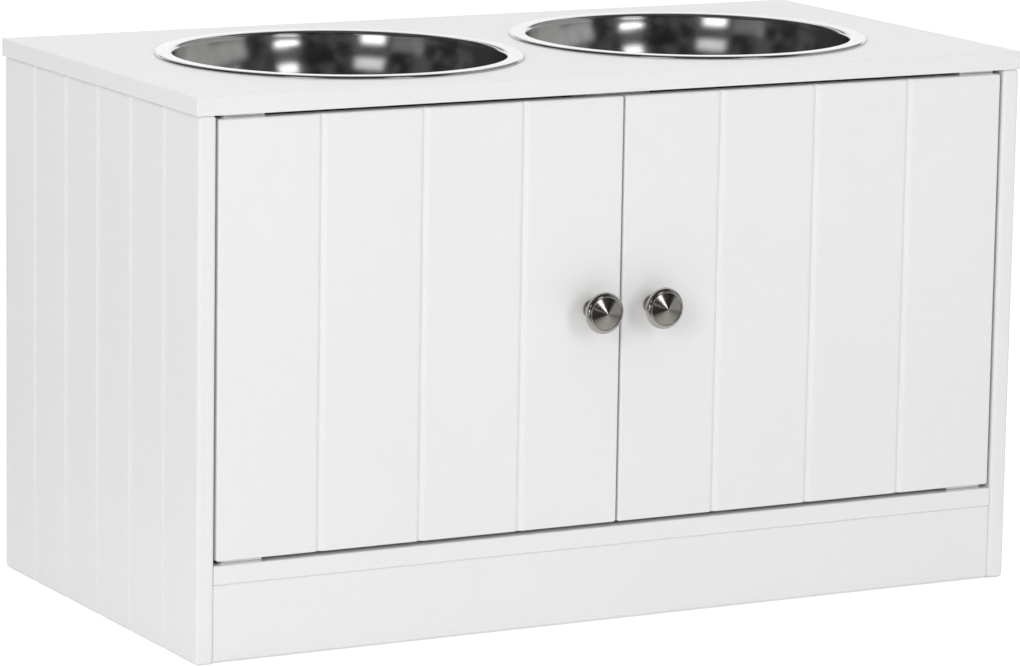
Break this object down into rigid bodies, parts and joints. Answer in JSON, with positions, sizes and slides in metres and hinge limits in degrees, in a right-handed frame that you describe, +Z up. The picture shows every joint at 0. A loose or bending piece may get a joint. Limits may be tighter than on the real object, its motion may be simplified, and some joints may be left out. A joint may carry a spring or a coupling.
{
  "type": "elevated dog feeder with storage",
  "caption": "Raised pet feeder: white grooved cabinet with inset pivot-hinged doors and round knobs, and lift-out steel bowls hanging in its top.",
  "frame": {"origin": "on the floor, in the middle of the footprint, knobs included", "axes": "+X to the right seen from the front, +Y from the front to the back, +Z up"},
  "size_m": [0.6, 0.3256, 0.358],
  "materials": {
    "board_paint": "fibreboard sprayed with satin white paint",
    "back_board": "thin hardboard with a white lacquered face",
    "polished_steel": "mirror polished stainless steel",
    "satin_nickel": "satin nickel, turned and brushed in rings",
    "zinc_plate": "zinc plated steel",
    "catch_plastic": "moulded white plastic",
    "ferrite": "pressed ferrite magnet",
    "beech": "fluted beech dowel"
  },
  "bodies": {
    "cabinet": {"top_panel": "board_paint", "left_side_panel": "board_paint", "right_side_panel": "board_paint", "bottom_panel": "board_paint", "plinth": "board_paint", "back_panel": "back_board", "upper_left_cabinet_leaf": "zinc_plate", "lower_left_cabinet_leaf": "zinc_plate", "upper_right_cabinet_leaf": "zinc_plate", "lower_right_cabinet_leaf": "zinc_plate", "upper_left_hinge_pin": "zinc_plate", "lower_left_hinge_pin": "zinc_plate", "upper_right_hinge_pin": "zinc_plate", "lower_right_hinge_pin": "zinc_plate", "cabinet_leaf_screws": "zinc_plate", "catch_body": "catch_plastic", "left_magnet": "ferrite", "right_magnet": "ferrite", "pole_plates": "zinc_plate", "catch_screws": "zinc_plate", "dowels": "beech", "cam_bolts": "zinc_plate", "cam_locks": "zinc_plate", "back_screws": "zinc_plate"},
    "door_left": {"left_door": "board_paint", "left_knob": "satin_nickel", "left_knob_screw": "zinc_plate", "upper_left_door_leaf": "zinc_plate", "lower_left_door_leaf": "zinc_plate", "left_door_leaf_screws": "zinc_plate", "left_strike_plate": "zinc_plate", "left_strike_screw": "zinc_plate"},
    "door_right": {"right_door": "board_paint", "right_knob": "satin_nickel", "right_knob_screw": "zinc_plate", "upper_right_door_leaf": "zinc_plate", "lower_right_door_leaf": "zinc_plate", "right_door_leaf_screws": "zinc_plate", "right_strike_plate": "zinc_plate", "right_strike_screw": "zinc_plate"},
    "bowl_left": {"left_bowl": "polished_steel"},
    "bowl_right": {"right_bowl": "polished_steel"}
  },
  "joints": [
    {"name": "left_door_hinge", "type": "hinge", "parent": "cabinet", "child": "door_left", "pos_m": [-0.2765, -0.13475, 0.203], "axis": [0, 0, -1], "range_deg": [0, 110]},
    {"name": "right_door_hinge", "type": "hinge", "parent": "cabinet", "child": "door_right", "pos_m": [0.2765, -0.13475, 0.203], "axis": [0, 0, 1], "range_deg": [0, 110]},
    {"name": "left_bowl_lift", "type": "slide", "parent": "cabinet", "child": "bowl_left", "axis": [0, 0, 1], "range_m": [0, 0.09]},
    {"name": "right_bowl_lift", "type": "slide", "parent": "cabinet", "child": "bowl_right", "axis": [0, 0, 1], "range_m": [0, 0.09]}
  ]
}
